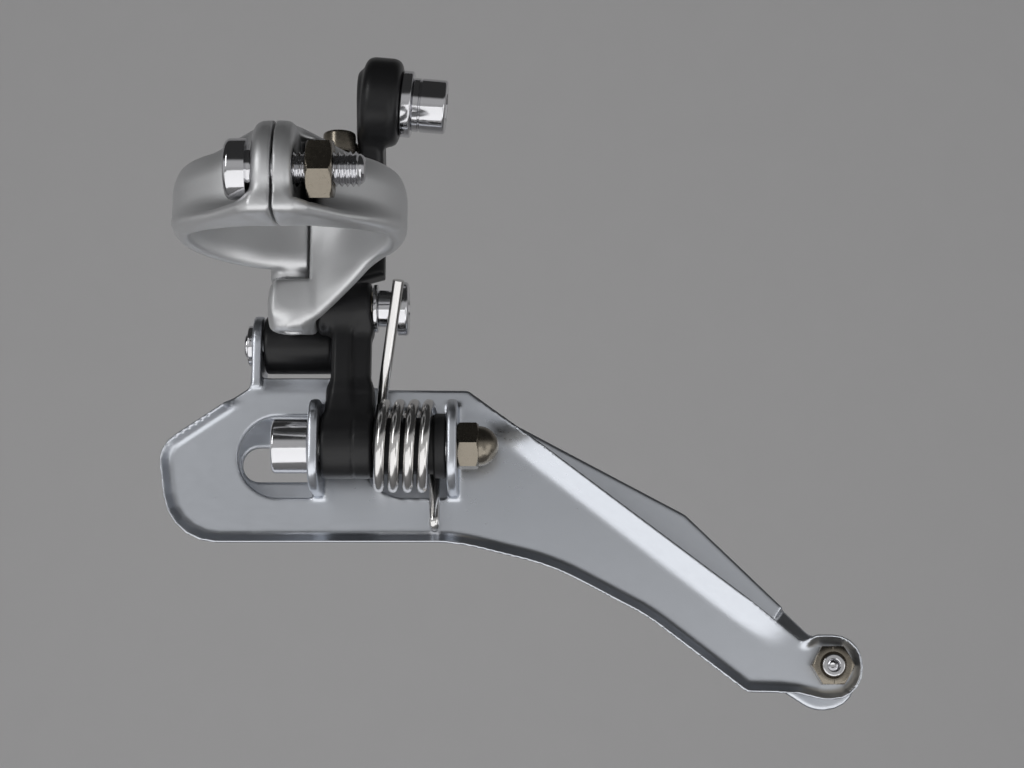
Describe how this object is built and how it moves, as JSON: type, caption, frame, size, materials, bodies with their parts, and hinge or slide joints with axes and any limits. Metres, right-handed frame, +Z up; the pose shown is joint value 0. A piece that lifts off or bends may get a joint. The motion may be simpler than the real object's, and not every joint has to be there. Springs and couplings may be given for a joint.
{
  "type": "front bicycle derailleur",
  "caption": "Band-clamp front bicycle derailleur with a sprung parallelogram, black links, a hinged alloy clamp and a satin steel chain cage.",
  "frame": {"origin": "centre of the seat-tube clamp bore, at the middle of the band's height", "axes": "+X to the rear of the bicycle, +Y to the drive side, +Z up along the seat tube"},
  "size_m": [0.1141, 0.0698, 0.1069],
  "materials": {
    "clamp_metal": "satin polished cast alloy",
    "cage_steel": "satin plated pressed steel",
    "black_alloy": "satin black",
    "chrome_steel": "bright plated",
    "nickel_brass": "dull nickel over brass",
    "bush_bronze": "plain bearing bronze",
    "black_plastic": "moulded",
    "spring_steel": "bright drawn wire"
  },
  "bodies": {
    "clamp_base": {"clamp_body": "clamp_metal", "clamp_hinge_pin": "chrome_steel", "upper_inner_pin": "chrome_steel", "upper_pin_washer": "chrome_steel"},
    "strap": {"clamp_strap": "clamp_metal", "clamp_bolt": "chrome_steel"},
    "strap_nut": {"clamp_nut": "nickel_brass"},
    "inner_arm": {"inner_link": "black_alloy", "inner_link_bushes": "bush_bronze", "return_spring": "spring_steel"},
    "outer_arm": {"outer_link": "black_alloy", "upper_outer_pin": "chrome_steel", "upper_outer_clip": "chrome_steel"},
    "cable_clamp": {"cable_washer": "chrome_steel", "cable_bolt": "chrome_steel"},
    "low_screw": {"low_limit_screw": "nickel_brass"},
    "high_screw": {"high_limit_screw": "nickel_brass"},
    "cage": {"cage_inner_plate": "cage_steel", "cage_outer_plate": "cage_steel", "cage_rivets": "cage_steel", "cage_spacer": "chrome_steel", "cage_screw": "chrome_steel", "cage_nut": "nickel_brass", "lower_outer_pin": "chrome_steel", "lower_outer_clip": "chrome_steel", "lower_inner_axle": "chrome_steel", "axle_nut": "nickel_brass", "spring_collar": "black_plastic"}
  },
  "joints": [
    {"name": "link_swing", "type": "hinge", "parent": "clamp_base", "child": "inner_arm", "pos_m": [0, 0.0244, -0.0092], "axis": [1, 0, 0], "range_deg": [0, 32], "stiffness_Nm_per_rad": 0.4, "springref_deg": -45.84},
    {"name": "cage_swing", "type": "hinge", "parent": "inner_arm", "child": "cage", "pos_m": [0, 0.022, -0.03207], "axis": [1, 0, 0], "range_deg": [-32, 0], "deforming": ["return_spring"]},
    {"name": "outer_swing", "type": "hinge", "parent": "clamp_base", "child": "outer_arm", "pos_m": [0, 0.0354, 0.0092], "axis": [1, 0, 0], "range_deg": [0, 32]},
    {"name": "strap_hinge", "type": "hinge", "parent": "clamp_base", "child": "strap", "pos_m": [-0.0017, 0.019, 0], "axis": [0, 0, -1], "range_deg": [0, 1.5]},
    {"name": "strap_nut_travel", "type": "slide", "parent": "strap", "child": "strap_nut", "axis": [1, 0, 0], "range_m": [0, 0.003]},
    {"name": "cable_bolt_travel", "type": "slide", "parent": "outer_arm", "child": "cable_clamp", "axis": [0.9962, 0, -0.0872], "range_m": [0, 0.002]},
    {"name": "low_screw_travel", "type": "slide", "parent": "clamp_base", "child": "low_screw", "axis": [0, 0, 1], "range_m": [-0.0014, 0.004]},
    {"name": "high_screw_travel", "type": "slide", "parent": "clamp_base", "child": "high_screw", "axis": [0, 0, 1], "range_m": [-0.0014, 0.004]}
  ],
  "couplings": [
    {"joint": "cage_swing", "follows": "link_swing", "ratio": -1},
    {"joint": "outer_swing", "follows": "link_swing", "ratio": 1}
  ]
}
